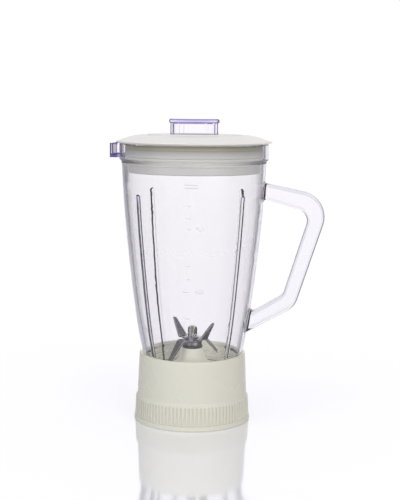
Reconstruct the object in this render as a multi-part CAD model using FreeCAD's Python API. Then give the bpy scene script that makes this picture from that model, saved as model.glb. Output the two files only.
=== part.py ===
"""Jug assembly of a countertop blender, as an assembly of its separate pieces.

Millimetres, +Z up.  The origin is on the jug's axis, in the plane that the collar stands on.
The handle points along +X and the pouring spout along -X.
"""
import FreeCAD, Part
import math
import os

# ---- driving dimensions --------------------------------------------------------------------

# jug
JUG_WALL = 2.8
JUG_BOTTOM = 40.0
NECK_INNER_R = 39.2
NECK_ROOT_R = 42.2
NECK_TOP = 55.8
SHOULDER_Z = 57.4
# radius of the jug's outside at a few heights, from the shoulder to the rim band
JUG_FLANKS = ((43.7, SHOULDER_Z), (49.4, 87.6), (55.2, 132.0), (59.9, 177.6), (63.2, 229.0))
RIM_Z = 243.2
RIM_OUTER_R = 64.8
RIM_INNER_R = 61.8
RIM_ROUND = 0.6
BAND_BOTTOM = JUG_FLANKS[-1][1]

# ribs inside the jug
RIB_R = 2.15
RIB_TOP = 199.7
RIB_BOTTOM = 42.5
RIB_ANGLES = (47.0, -40.0, 138.0, -135.0)

# spout
SPOUT_REACH = 72.4
SPOUT_WIDTH = 27.0
SPOUT_FLOOR = 230.8
SPOUT_WALL = 2.2

# handle: corners of its outer and inner outline, as (distance from the axis, height)
HANDLE_WIDTH = 15.0
HANDLE_EDGE_ROUND = 3.0
HANDLE_ROOT_ROUND = 2.5
HANDLE_ROOT_R = 42.0
HANDLE_OUTER = ((120.5, 198.0), (90.0, 102.5))
HANDLE_INNER = ((101.5, 185.0), (79.2, 112.6))
HANDLE_OUTER_ROUNDS = (22.0, 18.0)
HANDLE_INNER_ROUNDS = (10.0, 9.0)
HANDLE_TOP_SLOPE = -0.206
HANDLE_TOP_INNER_SLOPE = -0.279
HANDLE_LOW_SLOPE = 0.561
HANDLE_LOW_INNER_SLOPE = 0.608

# screw thread between jug and collar
PITCH = 4.0
THREAD_DEPTH = 1.55
THREAD_BASE = 2.2
THREAD_CREST = 0.9
THREAD_SINK = 0.3
NECK_THREAD_Z = 42.6
NECK_THREAD_TURNS = 3.0
COLLAR_THREAD_Z = 44.6
COLLAR_THREAD_TURNS = 2.0

# collar
COLLAR_FOOT_R = 51.4
COLLAR_STEP_Z = 23.6
COLLAR_WAIST_R = 48.4
COLLAR_TOP = 59.5
COLLAR_TOP_R = 46.1
COLLAR_BORE_R = 44.5
SOCKET_R = 47.0
SOCKET_DEPTH = 11.0
LEDGE_TOP = 34.0
LEDGE_THICK = 3.0
LEDGE_INNER_R = 36.5
GRIP_COUNT = 92
GRIP_BOTTOM = 4.2
GRIP_TOP = 21.0
GRIP_ROOT_LOW_R = 49.8
GRIP_ROOT_HIGH_R = 49.1
GRIP_PROUD = 0.75
DRIVE_LUGS = 4

# blade unit
FLANGE_R = 41.8
FLANGE_TOP = 38.0
TOWER_TOP = 63.2
TOWER_TOP_R = 9.2
TOWER_FOOT_R = 32.6
BOSS_R = 9.6
BOSS_BOTTOM = 22.0
SLEEVE_R = 6.5
BUSH_R = 5.0
SHAFT_R = 3.0
RUNNING_FIT = 0.03
SEAL_FLANGE_TOP = 65.2
SEAL_BODY_BOTTOM = 58.0
UPPER_BUSH_Z = (47.0, 57.0)
LOWER_BUSH_Z = (23.0, 33.0)

# rotor
SPACER_BOTTOM = 65.5
SPACER_R = 8.3
BLADE_SEAT = 69.0
BLADE_THICK = 1.5
BLADE_WIDTH = 9.5
BLADE_ARM = 12.8
BLADE_BEND_R = 2.2
BLADE_TIP_WIDTH = 3.0
BLADE_FLAT = 2.4
LOCK_WASHER_THICK = 0.8
NUT_R = 4.2
NUT_TOP = 82.6
NUT_DOME_R = 3.4
STUD_R = 2.5
SHAFT_BOTTOM = 15.6
COUPLING_R = 16.0
COUPLING_TOP = 20.4
COUPLING_FACE = 15.6
COUPLING_BOTTOM = 11.3
COUPLING_DOGS = 6

# lid and filler cap
LID_R = 68.0
LID_LIP_THICK = 1.0
LID_LIP_RISE = 2.2
LID_PLATEAU_Z = 251.2
LID_PLATEAU_R = 41.2
LID_HOLE_R = 20.3
LID_TUBE_R = 22.8
LID_TUBE_BOTTOM = 237.4
LID_THICK = 2.6
SKIRT_UPPER_R = 59.9
SKIRT_LOWER_R = 57.5
SKIRT_INNER_R = 55.2
SKIRT_BOTTOM = 218.5
GROOVE_R = 57.0
GROOVE_LOW = 225.0
GROOVE_HIGH = 232.4
CAP_PLATE_R = 21.9
CAP_PLATE_THICK = 3.5
CAP_TOP = 264.5
CAP_WALL_R = 20.8
CAP_PLUG_R = 19.8
CAP_INNER_R = 18.1
CAP_BOTTOM = 237.9

Z_AXIS = FreeCAD.Vector(0, 0, 1)
ORIGIN = FreeCAD.Vector(0, 0, 0)


# ---- helpers ---------------------------------------------------------------------------------

def point(r, z):
    """A point of an outline in the XZ plane."""
    return FreeCAD.Vector(r, 0, z)


def outline(start, *steps):
    """Closed wire in the XZ plane.

    A step of one (r, z) pair is a straight line to it, a step of two pairs is an arc through
    the first to the second, and a longer step is a smooth curve through all its pairs.
    """
    edges = []
    here = point(*start)
    for step in steps + ((start,),):
        stops = [point(*pair) for pair in step]
        if len(stops) == 1:
            if here.distanceToPoint(stops[0]) < 1e-6:
                continue
            edges.append(Part.LineSegment(here, stops[0]).toShape())
        elif len(stops) == 2:
            edges.append(Part.Arc(here, stops[0], stops[1]).toShape())
        else:
            curve = Part.BSplineCurve()
            curve.interpolate([here] + stops)
            edges.append(curve.toShape())
        here = stops[-1]
    return Part.Wire(edges)


def turned(start, *steps):
    """Solid of revolution about the jug's axis."""
    return Part.Face(outline(start, *steps)).revolve(ORIGIN, Z_AXIS, 360)


def disc(radius, low, high):
    return Part.makeCylinder(radius, high - low, FreeCAD.Vector(0, 0, low))


def ring(inner, outer, low, high):
    return disc(outer, low, high).cut(disc(inner, low, high))


def block(x, y, z):
    """Box from three (low, high) pairs."""
    size = [high - low for low, high in (x, y, z)]
    return Part.makeBox(*size, FreeCAD.Vector(x[0], y[0], z[0]))


def turn(shape, degrees):
    copy = shape.copy()
    copy.rotate(ORIGIN, Z_AXIS, degrees)
    return copy


def around(shape, count):
    """Copies of a shape, evenly spaced round the axis."""
    return [turn(shape, 360.0 * i / count) for i in range(count)]


def joined(shapes):
    return shapes[0].multiFuse(list(shapes[1:])).removeSplitter()


def rounded_path(corners, rounds):
    """Edges of an open path with straight runs, where each inner corner is an arc."""
    edges = []
    here = corners[0]
    for before, corner, after, radius in zip(corners, corners[1:], corners[2:], rounds):
        into = (corner - before).normalize()
        out = (after - corner).normalize()
        half = into.getAngle(out) / 2
        start = corner - into * radius * math.tan(half)
        end = corner + out * radius * math.tan(half)
        bisector = (out - into).normalize()
        centre = corner + bisector * (radius / math.cos(half))
        middle = centre - bisector * radius
        edges.append(Part.LineSegment(here, start).toShape())
        edges.append(Part.Arc(start, middle, end).toShape())
        here = end
    edges.append(Part.LineSegment(here, corners[-1]).toShape())
    return edges


def thread_ridge(root_r, outward, start_z, turns):
    """Right-hand helical ridge that stands on a cylinder, outwards (+1) or inwards (-1)."""
    helix = Part.makeHelix(PITCH, PITCH * turns, root_r)
    helix.translate(FreeCAD.Vector(0, 0, start_z))
    sunk_r = root_r - outward * THREAD_SINK
    crest_r = root_r + outward * (THREAD_DEPTH - THREAD_SINK)
    section = Part.makePolygon([
        point(sunk_r, start_z - THREAD_BASE / 2),
        point(crest_r, start_z - THREAD_CREST / 2),
        point(crest_r, start_z + THREAD_CREST / 2),
        point(sunk_r, start_z + THREAD_BASE / 2),
        point(sunk_r, start_z - THREAD_BASE / 2),
    ])
    return Part.Wire(helix).makePipeShell([section], True, True)


# ---- jug -------------------------------------------------------------------------------------

def jug_body():
    """Filled outside of the jug, up to the rim."""
    return turned(
        (0, JUG_BOTTOM),
        ((NECK_ROOT_R - 0.5, JUG_BOTTOM),),
        ((NECK_ROOT_R, JUG_BOTTOM + 0.5),),
        ((NECK_ROOT_R, NECK_TOP),),
        (JUG_FLANKS[0],),
        JUG_FLANKS[1:],
        ((RIM_OUTER_R - RIM_ROUND, BAND_BOTTOM),),
        ((RIM_OUTER_R, BAND_BOTTOM + RIM_ROUND),),
        ((RIM_OUTER_R, RIM_Z - RIM_ROUND),),
        ((RIM_OUTER_R - RIM_ROUND, RIM_Z),),
        ((0, RIM_Z),),
    )


def jug_inner_curve():
    """Points of the inner wall, from the neck to just under the rim band."""
    wall = tuple((r - JUG_WALL, z) for r, z in JUG_FLANKS[:-1])
    top = (JUG_FLANKS[-1][0] - JUG_WALL, BAND_BOTTOM - 2.0)
    return ((NECK_INNER_R, JUG_BOTTOM + 8.0),) + wall + (top,)


def jug_cavity():
    curve = jug_inner_curve()
    return turned(
        (0, JUG_BOTTOM - 1.0),
        ((NECK_INNER_R, JUG_BOTTOM - 1.0),),
        (curve[0],),
        curve[1:],
        ((RIM_INNER_R, BAND_BOTTOM + 1.0),),
        ((RIM_INNER_R, RIM_Z - RIM_ROUND),),
        ((RIM_INNER_R + RIM_ROUND, RIM_Z),),
        ((RIM_INNER_R + RIM_ROUND, RIM_Z + 1.0),),
        ((0, RIM_Z + 1.0),),
    )


def jug_rib():
    """Half-round rib on the inner wall at azimuth 0: its bar and the knob that rounds its top."""
    curve = Part.BSplineCurve()
    curve.interpolate([point(NECK_INNER_R, RIB_BOTTOM)] + [point(r, z) for r, z in jug_inner_curve()])
    level = Part.LineSegment(point(0, RIB_TOP), point(RIM_OUTER_R, RIB_TOP))
    crossing = curve.intersectCC(level)[0]
    end = curve.parameter(FreeCAD.Vector(crossing.X, crossing.Y, crossing.Z))
    path = curve.toShape(curve.FirstParameter, end)
    foot = path.valueAt(path.FirstParameter)
    tip = path.valueAt(path.LastParameter)
    section = Part.Circle(foot, curve.tangent(curve.FirstParameter)[0], RIB_R).toShape()
    bar = Part.Wire(path).makePipeShell([Part.Wire(section)], True, False)
    knob = Part.makeSphere(RIB_R - 0.05, tip - FreeCAD.Vector(0, 0, 0.4))
    return bar, knob


def handle():
    """Loop handle with rounded edges, its ends buried in the jug."""
    outer_top, outer_low = (point(*corner) for corner in HANDLE_OUTER)
    inner_top, inner_low = (point(*corner) for corner in HANDLE_INNER)

    def root(corner, slope):
        run = corner.x - HANDLE_ROOT_R
        return point(HANDLE_ROOT_R, corner.z - slope * run)

    outside = rounded_path(
        [root(outer_top, HANDLE_TOP_SLOPE), outer_top, outer_low, root(outer_low, HANDLE_LOW_SLOPE)],
        HANDLE_OUTER_ROUNDS)
    inside = rounded_path(
        [root(inner_low, HANDLE_LOW_INNER_SLOPE), inner_low, inner_top,
         root(inner_top, HANDLE_TOP_INNER_SLOPE)],
        HANDLE_INNER_ROUNDS[::-1])
    ends = [(outside[-1], inside[0]), (inside[-1], outside[0])]
    caps = [Part.LineSegment(a.valueAt(a.LastParameter), b.valueAt(b.FirstParameter)).toShape()
            for a, b in ends]
    face = Part.Face(Part.Wire(outside + [caps[0]] + inside + [caps[1]]))
    face.translate(FreeCAD.Vector(0, -HANDLE_WIDTH / 2, 0))
    bar = face.extrude(FreeCAD.Vector(0, HANDLE_WIDTH, 0))
    side = HANDLE_WIDTH / 2
    long_edges = [e for e in bar.Edges
                  if abs(abs(e.CenterOfMass.y) - side) < 1e-6 and e.CenterOfMass.x > HANDLE_ROOT_R + 1]
    return bar.makeFillet(HANDLE_EDGE_ROUND, long_edges)


def spout():
    """Pouring lip: a U-shaped channel that leaves the rim band."""
    half = SPOUT_WIDTH / 2
    lip = block((-SPOUT_REACH, -RIM_INNER_R + 6.0), (-half, half), (SPOUT_FLOOR, RIM_Z))
    upright = [e for e in lip.Edges
               if e.BoundBox.ZLength > 1.0 and e.CenterOfMass.x < -SPOUT_REACH + 1]
    return lip.makeFillet(3.0, upright)


def spout_channel():
    """Space that the liquid runs through, open at the top."""
    half = SPOUT_WIDTH / 2 - SPOUT_WALL
    reach = SPOUT_REACH - SPOUT_WALL
    channel = block((-reach, -RIM_INNER_R + 4.0), (-half, half), (SPOUT_FLOOR + SPOUT_WALL, RIM_Z + 1))
    upright = [e for e in channel.Edges if e.BoundBox.ZLength > 1.0 and e.CenterOfMass.x < -reach + 1]
    return channel.makeFillet(1.6, upright)


def handle_roots(body):
    """Edges where the handle meets the jug's flank."""
    side = HANDLE_WIDTH / 2 + 0.1
    found = []
    for edge in body.Edges:
        box = edge.BoundBox
        beside_wall = box.XMin > HANDLE_ROOT_R and box.XMax < RIM_OUTER_R
        below_band = box.ZMin > SHOULDER_Z and box.ZMax < BAND_BOTTOM
        across_bar = max(-box.YMin, box.YMax) < side and box.ZLength < HANDLE_WIDTH
        if beside_wall and below_band and across_bar:
            found.append(edge)
    return found


def make_jug():
    body = joined([jug_body(), handle(), spout()])
    body = body.makeFillet(HANDLE_ROOT_ROUND, handle_roots(body))
    cavity = jug_cavity()
    for angle in RIB_ANGLES:
        for piece in jug_rib():
            cavity = cavity.cut(turn(piece, angle))
    hollow = body.cut(cavity).cut(spout_channel())
    return joined([hollow, thread_ridge(NECK_ROOT_R, 1, NECK_THREAD_Z, NECK_THREAD_TURNS)])


# ---- lid and filler cap ----------------------------------------------------------------------

def make_lid():
    lip_top = RIM_Z + LID_LIP_RISE
    return turned(
        (LID_HOLE_R, LID_TUBE_BOTTOM),
        ((LID_HOLE_R, LID_PLATEAU_Z),),
        ((LID_PLATEAU_R - 0.4, LID_PLATEAU_Z),),
        ((LID_PLATEAU_R, LID_PLATEAU_Z - 0.4),),
        ((LID_PLATEAU_R, LID_PLATEAU_Z - 0.8),),
        ((54.0, lip_top + 4.2), (61.7, lip_top + 1.9), (LID_R - 0.6, lip_top)),
        ((LID_R, lip_top - LID_LIP_THICK / 2), (LID_R - 0.4, lip_top - LID_LIP_THICK)),
        ((LID_R - 2.6, RIM_Z + 0.2),),
        ((RIM_OUTER_R - RIM_ROUND, RIM_Z),),
        ((SKIRT_UPPER_R, RIM_Z),),
        ((SKIRT_UPPER_R, GROOVE_HIGH),),
        ((GROOVE_R, GROOVE_HIGH),),
        ((GROOVE_R, GROOVE_LOW),),
        ((SKIRT_LOWER_R, GROOVE_LOW),),
        ((SKIRT_LOWER_R, SKIRT_BOTTOM + 0.6),),
        ((SKIRT_LOWER_R - 0.6, SKIRT_BOTTOM),),
        ((SKIRT_INNER_R, SKIRT_BOTTOM),),
        ((SKIRT_INNER_R, RIM_Z - 2.5),),
        ((SKIRT_INNER_R - 1.2, RIM_Z + 1.5), (SKIRT_INNER_R - 5.0, RIM_Z + 3.2)),
        ((LID_PLATEAU_R, LID_PLATEAU_Z - LID_THICK - 0.6),),
        ((LID_TUBE_R, LID_PLATEAU_Z - LID_THICK),),
        ((LID_TUBE_R, LID_TUBE_BOTTOM),),
    )


def make_lid_seal_ring():
    """Soft ring in the skirt's groove, with two round lips."""
    base = GROOVE_R + 1.2
    return turned(
        (GROOVE_R, GROOVE_LOW),
        ((base, GROOVE_LOW),),
        ((GROOVE_R + 2.2, GROOVE_LOW + 2.2), (base, GROOVE_LOW + 4.3)),
        ((base, GROOVE_LOW + 4.6),),
        ((GROOVE_R + 2.9, GROOVE_LOW + 5.9), (base, GROOVE_HIGH - 0.3)),
        ((base, GROOVE_HIGH),),
        ((GROOVE_R, GROOVE_HIGH),),
    )


def make_filler_cap():
    """Inverted cup that plugs the hole of the lid and rests on the plateau."""
    plate_bottom = CAP_TOP - CAP_PLATE_THICK
    bevel = 1.1
    cup = turned(
        (0, CAP_TOP),
        ((CAP_PLATE_R - bevel, CAP_TOP),),
        ((CAP_PLATE_R, CAP_TOP - bevel),),
        ((CAP_PLATE_R, plate_bottom + 0.4),),
        ((CAP_PLATE_R - 0.4, plate_bottom),),
        ((CAP_WALL_R, plate_bottom),),
        ((CAP_WALL_R, LID_PLATEAU_Z),),
        ((CAP_PLUG_R, LID_PLATEAU_Z),),
        ((CAP_PLUG_R, CAP_BOTTOM + 0.6),),
        ((CAP_PLUG_R - 0.6, CAP_BOTTOM),),
        ((CAP_INNER_R, CAP_BOTTOM),),
        ((CAP_INNER_R, plate_bottom - 0.8),),
        ((CAP_INNER_R - 0.8, plate_bottom),),
        ((0, plate_bottom),),
    )
    bar = block((CAP_INNER_R - 0.9, CAP_INNER_R + 0.5), (-0.6, 0.6),
                (CAP_BOTTOM + 3.0, plate_bottom + 0.5))
    return joined([cup] + [turn(bar, angle) for angle in (50, 130, 230, 310)])


# ---- collar ----------------------------------------------------------------------------------

def collar_shell():
    return turned(
        (SOCKET_R, 0),
        ((COLLAR_FOOT_R - 0.5, 0),),
        ((COLLAR_FOOT_R, 0.6),),
        ((COLLAR_FOOT_R - 0.5, GRIP_BOTTOM - 0.4),),
        ((GRIP_ROOT_LOW_R, GRIP_BOTTOM),),
        ((GRIP_ROOT_HIGH_R, GRIP_TOP),),
        ((COLLAR_WAIST_R, COLLAR_STEP_Z),),
        ((COLLAR_TOP_R + 1.0, COLLAR_TOP - 5.0),),
        ((COLLAR_TOP_R + 0.7, COLLAR_TOP - 1.6),),
        ((COLLAR_TOP_R + 0.3, COLLAR_TOP - 0.4), (COLLAR_TOP_R - 0.4, COLLAR_TOP)),
        ((COLLAR_BORE_R + 0.5, COLLAR_TOP),),
        ((COLLAR_BORE_R, COLLAR_TOP - 0.5),),
        ((COLLAR_BORE_R, LEDGE_TOP),),
        ((LEDGE_INNER_R, LEDGE_TOP),),
        ((LEDGE_INNER_R, LEDGE_TOP - LEDGE_THICK),),
        ((COLLAR_BORE_R, LEDGE_TOP - LEDGE_THICK - 1.0),),
        ((COLLAR_BORE_R + 0.7, LEDGE_TOP - LEDGE_THICK - 4.0),),
        ((SOCKET_R, SOCKET_DEPTH),),
    )


def grip_ribs():
    """Band of upright ribs, with bevelled ends, that stands just proud of the collar."""
    step = 2 * math.pi / GRIP_COUNT
    crest_r = GRIP_ROOT_LOW_R + GRIP_PROUD
    valley_r = GRIP_ROOT_HIGH_R - 0.3

    def at(radius, angle, z=0.0):
        return FreeCAD.Vector(radius * math.cos(angle), radius * math.sin(angle), z)

    edges = []
    for i in range(GRIP_COUNT):
        start = i * step
        foot_a = at(valley_r, start)
        side_a = at(crest_r - 0.35, start + 0.12 * step)
        crown = at(crest_r, start + 0.36 * step)
        side_b = at(crest_r - 0.35, start + 0.60 * step)
        foot_b = at(valley_r, start + 0.72 * step)
        edges.append(Part.LineSegment(foot_a, side_a).toShape())
        edges.append(Part.Arc(side_a, crown, side_b).toShape())
        edges.append(Part.LineSegment(side_b, foot_b).toShape())
        edges.append(Part.LineSegment(foot_b, at(valley_r, start + step)).toShape())
    prism = Part.Face(Part.Wire(edges)).extrude(FreeCAD.Vector(0, 0, GRIP_TOP))
    inside = valley_r - 1.5
    sleeve = turned(
        (inside, GRIP_BOTTOM - 0.3),
        ((GRIP_ROOT_LOW_R, GRIP_BOTTOM - 0.3),),
        ((crest_r, GRIP_BOTTOM + 0.5),),
        ((GRIP_ROOT_HIGH_R + GRIP_PROUD, GRIP_TOP - 0.9),),
        ((GRIP_ROOT_HIGH_R - 0.1, GRIP_TOP),),
        ((inside, GRIP_TOP),),
    )
    return prism.common(sleeve)


def make_collar():
    lug = block((COLLAR_BORE_R - 1.6, SOCKET_R + 0.4), (-3.0, 3.0),
                (SOCKET_DEPTH + 2.0, LEDGE_TOP - LEDGE_THICK - 1.5))
    lugs = [turn(copy, 45) for copy in around(lug, DRIVE_LUGS)]
    ridge = thread_ridge(COLLAR_BORE_R, -1, COLLAR_THREAD_Z, COLLAR_THREAD_TURNS)
    return joined([collar_shell(), grip_ribs(), ridge] + lugs)


# ---- blade unit ------------------------------------------------------------------------------

def make_blade_base():
    """Tower moulding: a flange, a conical floor and a boss for the bearings."""
    return turned(
        (SLEEVE_R, BOSS_BOTTOM),
        ((SLEEVE_R, TOWER_TOP),),
        ((TOWER_TOP_R - 0.3, TOWER_TOP),),
        ((TOWER_TOP_R, TOWER_TOP - 0.4),),
        ((10.4, 58.0), (11.8, 54.3), (14.9, 51.5), (18.7, 48.9), (TOWER_FOOT_R, 41.4)),
        ((TOWER_FOOT_R, FLANGE_TOP),),
        ((FLANGE_R, FLANGE_TOP),),
        ((FLANGE_R, LEDGE_TOP),),
        ((31.0, LEDGE_TOP),),
        ((30.0, 39.8),),
        ((17.2, 46.6),),
        ((13.0, 49.2), (BOSS_R + 0.6, 47.0)),
        ((BOSS_R, BOSS_BOTTOM),),
    )


def make_jug_gasket():
    return turned(
        (TOWER_FOOT_R + 0.05, FLANGE_TOP),
        ((FLANGE_R, FLANGE_TOP),),
        ((FLANGE_R, JUG_BOTTOM),),
        ((TOWER_FOOT_R + 0.6, JUG_BOTTOM),),
        ((TOWER_FOOT_R + 0.05, JUG_BOTTOM - 0.5),),
    )


def make_shaft_seal():
    """Lip seal: a flange on top of the tower and a body in its bore."""
    bore = SHAFT_R + RUNNING_FIT
    flange_r = TOWER_TOP_R - 0.3
    return turned(
        (bore, SEAL_BODY_BOTTOM),
        ((bore, SEAL_FLANGE_TOP),),
        ((flange_r - 0.3, SEAL_FLANGE_TOP),),
        ((flange_r, SEAL_FLANGE_TOP - 0.3),),
        ((flange_r, TOWER_TOP),),
        ((SLEEVE_R, TOWER_TOP),),
        ((SLEEVE_R, SEAL_BODY_BOTTOM),),
    )


def make_bearing_sleeve():
    return ring(BUSH_R, SLEEVE_R, BOSS_BOTTOM, SEAL_BODY_BOTTOM)


def make_bush(low, high):
    return ring(SHAFT_R + RUNNING_FIT, BUSH_R, low, high)


# ---- rotor -----------------------------------------------------------------------------------

def make_blade_shaft():
    """Round shaft with two flats where the blades sit, a stud on top and a clip groove."""
    top_of_flats = BLADE_SEAT + 2 * BLADE_THICK + LOCK_WASHER_THICK
    shank = disc(SHAFT_R, SHAFT_BOTTOM, top_of_flats)
    keep = block((-10, 10), (-BLADE_FLAT, BLADE_FLAT), (BLADE_SEAT, top_of_flats))
    below = disc(SHAFT_R, SHAFT_BOTTOM, BLADE_SEAT)
    shank = joined([below, shank.common(keep)])
    stud = disc(STUD_R - 0.15, top_of_flats - 0.5, NUT_TOP - 3.0)
    groove = ring(SHAFT_R - 0.7, SHAFT_R + 1, COUPLING_TOP + 0.1, COUPLING_TOP + 0.9)
    return joined([shank, stud]).cut(groove)


def make_blade_spacer():
    """Polished steel disc under the blades."""
    return turned(
        (SHAFT_R, SPACER_BOTTOM),
        ((SHAFT_R, BLADE_SEAT),),
        ((SPACER_R - 0.5, BLADE_SEAT),),
        ((SPACER_R, BLADE_SEAT - 0.5),),
        ((SPACER_R, SPACER_BOTTOM + 0.3),),
        ((SPACER_R - 0.3, SPACER_BOTTOM),),
    )


def blade_arm(seat, up, degrees, length):
    """One arm along +X: flat to the bend, then a tapered blade, bent up (+1) or down (-1)."""
    angle = math.radians(degrees)
    half = BLADE_THICK / 2
    centre_line = rounded_path(
        [point(0, 0),
         point(BLADE_ARM, 0),
         point(BLADE_ARM + length * math.cos(angle), up * length * math.sin(angle))],
        (BLADE_BEND_R + half,))
    middle = Part.Wire(centre_line)
    strip_face = middle.makeOffset2D(half, fill=False, openResult=False)
    strip_face = Part.Face(strip_face)
    strip_face.translate(FreeCAD.Vector(0, -BLADE_WIDTH / 2, seat + half))
    strip = strip_face.extrude(FreeCAD.Vector(0, BLADE_WIDTH, 0))
    tip_x = BLADE_ARM + length * math.cos(angle)
    wide = BLADE_WIDTH / 2
    narrow = BLADE_TIP_WIDTH / 2
    plan = Part.makePolygon([
        FreeCAD.Vector(0, -wide, 0),
        FreeCAD.Vector(BLADE_ARM, -wide, 0),
        FreeCAD.Vector(tip_x - 0.8, -narrow, 0),
        FreeCAD.Vector(tip_x + 0.4, narrow, 0),
        FreeCAD.Vector(BLADE_ARM + 1.0, wide, 0),
        FreeCAD.Vector(0, wide, 0),
        FreeCAD.Vector(0, -wide, 0),
    ])
    cutter = Part.Face(plan).extrude(FreeCAD.Vector(0, 0, 80))
    cutter.translate(FreeCAD.Vector(0, 0, seat - 40))
    return strip.common(cutter)


def make_blade(seat, up, arms):
    """Strip blade with two arms; each arm is (azimuth, bend in degrees, length past the bend)."""
    hub = disc(6.5, seat, seat + BLADE_THICK)
    pieces = [turn(blade_arm(seat, up, bend, length), azimuth) for azimuth, bend, length in arms]
    hole = disc(SHAFT_R, seat - 1, seat + BLADE_THICK + 1)
    keep = block((-10, 10), (-BLADE_FLAT, BLADE_FLAT), (seat - 2, seat + BLADE_THICK + 2))
    return joined([hub] + pieces).cut(hole.common(keep))


def make_acorn_nut():
    """Round nut with a domed, closed top."""
    foot = BLADE_SEAT + 2 * BLADE_THICK + LOCK_WASHER_THICK
    flat_r = NUT_R - NUT_DOME_R
    dome_z = NUT_TOP - NUT_DOME_R
    slant = NUT_DOME_R * math.sqrt(0.5)
    blank = turned(
        (0, foot),
        ((NUT_R - 0.3, foot),),
        ((NUT_R, foot + 0.4),),
        ((NUT_R, dome_z),),
        ((flat_r + slant, dome_z + slant), (flat_r, NUT_TOP)),
        ((0, NUT_TOP),),
    )
    return blank.cut(disc(STUD_R, foot - 1, NUT_TOP - 2.4))


def make_lock_washer():
    low = BLADE_SEAT + 2 * BLADE_THICK
    return ring(SHAFT_R, NUT_R + 1.0, low, low + LOCK_WASHER_THICK)


def make_retaining_clip():
    """E-clip in the shaft's groove."""
    body = ring(SHAFT_R - 0.7, SHAFT_R + 2.0, COUPLING_TOP + 0.2, COUPLING_TOP + 0.8)
    mouth = block((0, 10), (-(SHAFT_R - 0.8), SHAFT_R - 0.8), (COUPLING_TOP - 2, COUPLING_TOP + 4))
    return body.cut(mouth)


def make_drive_coupling():
    """Dog coupling: a disc with six teeth underneath."""
    plate = turned(
        (5.5, COUPLING_FACE),
        ((5.5, COUPLING_TOP),),
        ((COUPLING_R - 3.0, COUPLING_TOP),),
        ((COUPLING_R, COUPLING_TOP - 2.0),),
        ((COUPLING_R, COUPLING_FACE),),
    )
    tooth = ring(8.5, COUPLING_R, COUPLING_BOTTOM, COUPLING_FACE + 0.5)
    tooth = tooth.common(block((0, 20), (-2.6, 2.6), (0, 30)))
    return joined([plate] + around(tooth, COUPLING_DOGS))


def make_coupling_insert():
    return ring(SHAFT_R, 5.5, COUPLING_FACE, COUPLING_TOP)


# ---- everything ------------------------------------------------------------------------------

def save(name, shape):
    """Writes one node and reports what it is."""
    solids = len(shape.Solids)
    box = shape.BoundBox
    print(f"{name:20s} valid={shape.isValid()} solids={solids} volume={shape.Volume:10.1f} "
          f"z={box.ZMin:.2f}..{box.ZMax:.2f}")
    shape.exportStep(f"parts/{name}.step")


def main():
    os.makedirs("parts", exist_ok=True)
    save("jug", make_jug())
    save("lid", make_lid())
    save("lid_seal_ring", make_lid_seal_ring())
    save("filler_cap", make_filler_cap())
    save("collar", make_collar())
    save("blade_base", make_blade_base())
    save("jug_gasket", make_jug_gasket())
    save("shaft_seal", make_shaft_seal())
    save("bearing_sleeve", make_bearing_sleeve())
    save("upper_bearing", make_bush(*UPPER_BUSH_Z))
    save("lower_bearing", make_bush(*LOWER_BUSH_Z))
    save("upper_thrust_washer", make_bush(UPPER_BUSH_Z[1], SEAL_BODY_BOTTOM))
    save("lower_thrust_washer", make_bush(BOSS_BOTTOM, LOWER_BUSH_Z[0]))
    save("blade_shaft", make_blade_shaft())
    save("blade_spacer", make_blade_spacer())
    save("lower_blade", make_blade(BLADE_SEAT, -1, ((222, 54, 23.0), (32, 46, 18.0))))
    save("upper_blade", make_blade(BLADE_SEAT + BLADE_THICK, 1, ((141, 55, 18.5), (321, 54, 20.5))))
    save("blade_lock_washer", make_lock_washer())
    save("acorn_nut", make_acorn_nut())
    save("retaining_clip", make_retaining_clip())
    save("drive_coupling", make_drive_coupling())
    save("coupling_insert", make_coupling_insert())


main()
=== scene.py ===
"""Looks of the blender jug: materials, fine moulded details, studio and camera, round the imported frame."""
import bpy
import bmesh
import math
from mathutils import Matrix, Vector


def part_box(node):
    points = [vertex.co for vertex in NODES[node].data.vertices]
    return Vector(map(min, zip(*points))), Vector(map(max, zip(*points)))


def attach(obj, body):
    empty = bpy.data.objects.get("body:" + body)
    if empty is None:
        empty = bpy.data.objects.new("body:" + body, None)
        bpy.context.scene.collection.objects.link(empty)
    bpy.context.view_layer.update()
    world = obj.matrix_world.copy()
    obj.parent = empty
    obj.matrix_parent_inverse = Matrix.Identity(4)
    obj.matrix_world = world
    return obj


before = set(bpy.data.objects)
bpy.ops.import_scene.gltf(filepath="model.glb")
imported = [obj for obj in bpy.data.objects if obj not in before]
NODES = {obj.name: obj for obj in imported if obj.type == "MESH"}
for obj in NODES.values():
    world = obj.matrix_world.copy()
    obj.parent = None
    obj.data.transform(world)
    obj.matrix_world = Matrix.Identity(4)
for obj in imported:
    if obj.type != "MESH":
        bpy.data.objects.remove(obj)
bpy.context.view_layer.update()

MM = 0.001

# camera, in the object's frame
CAMERA_DISTANCE = 0.963
CAMERA_HEIGHT = 0.277
CAMERA_AZIMUTH = math.radians(6.4)
CAMERA_PITCH = math.radians(7.52)
CAMERA_AIM_OFF = math.radians(0.353)
CAMERA_ROLL = math.radians(0.54)
CAMERA_LENS = 79.5

# raised graduation marks on the jug's front: height, then left and right end, in mm from the jug's middle
MARKS = (
    (211.3, -8.6, 3.9),
    (208.9, -8.6, 3.9),
    (193.9, -5.6, -2.3),
    (183.5, -7.5, -1.9),
    (174.7, -5.6, -2.3),
    (143.7, -7.0, -2.4),
    (132.0, -5.6, -2.3),
    (121.2, -8.4, -2.9),
    (98.0, -8.4, -1.9),
)
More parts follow.
